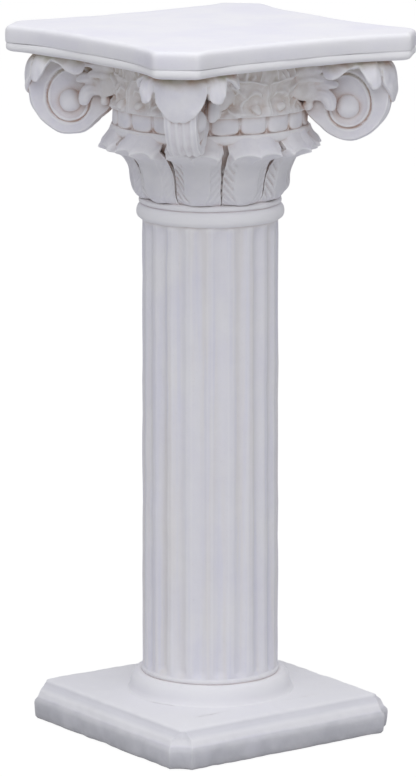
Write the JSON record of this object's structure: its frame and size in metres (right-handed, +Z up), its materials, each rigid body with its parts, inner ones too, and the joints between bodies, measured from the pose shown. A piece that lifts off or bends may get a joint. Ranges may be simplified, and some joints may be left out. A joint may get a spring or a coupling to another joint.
{
  "type": "pedestal column stand",
  "caption": "Fluted column pedestal with a square plinth, a leafy capital with corner scrolls and a hollow-sided top slab.",
  "frame": {"origin": "middle of the footprint, on the floor", "axes": "+Z up along the column; X and Y square to the plinth's sides, so the scrolls point along the diagonals"},
  "size_m": [0.356, 0.356, 0.8],
  "materials": {
    "cast_plaster": "cast plaster, matt off-white paint with brown wash left in the hollows",
    "felt_pad": "pressed felt",
    "zinc_steel": "zinc plated steel, threads left plain"
  },
  "bodies": {
    "root": {"abacus_moulding": "cast_plaster", "abacus_slab": "cast_plaster", "bell_leaf_1": "cast_plaster", "bell_leaf_10": "cast_plaster", "bell_leaf_2": "cast_plaster", "bell_leaf_3": "cast_plaster", "bell_leaf_4": "cast_plaster", "bell_leaf_5": "cast_plaster", "bell_leaf_6": "cast_plaster", "bell_leaf_7": "cast_plaster", "bell_leaf_8": "cast_plaster", "bell_leaf_9": "cast_plaster", "capital_block": "cast_plaster", "corner_scroll_1": "cast_plaster", "corner_scroll_2": "cast_plaster", "corner_scroll_3": "cast_plaster", "corner_scroll_4": "cast_plaster", "egg_band": "cast_plaster", "face_spray_1": "cast_plaster", "face_spray_2": "cast_plaster", "face_spray_3": "cast_plaster", "face_spray_4": "cast_plaster", "fluted_shaft": "cast_plaster", "foot_pads": "felt_pad", "foot_ring": "cast_plaster", "leaf_bell": "cast_plaster", "neck_ring": "cast_plaster", "plinth": "cast_plaster", "scroll_leaf_1": "cast_plaster", "scroll_leaf_2": "cast_plaster", "scroll_leaf_3": "cast_plaster", "scroll_leaf_4": "cast_plaster", "tie_nuts": "zinc_steel", "tie_rod": "zinc_steel", "tie_washers": "zinc_steel"}
  },
  "joints": []
}
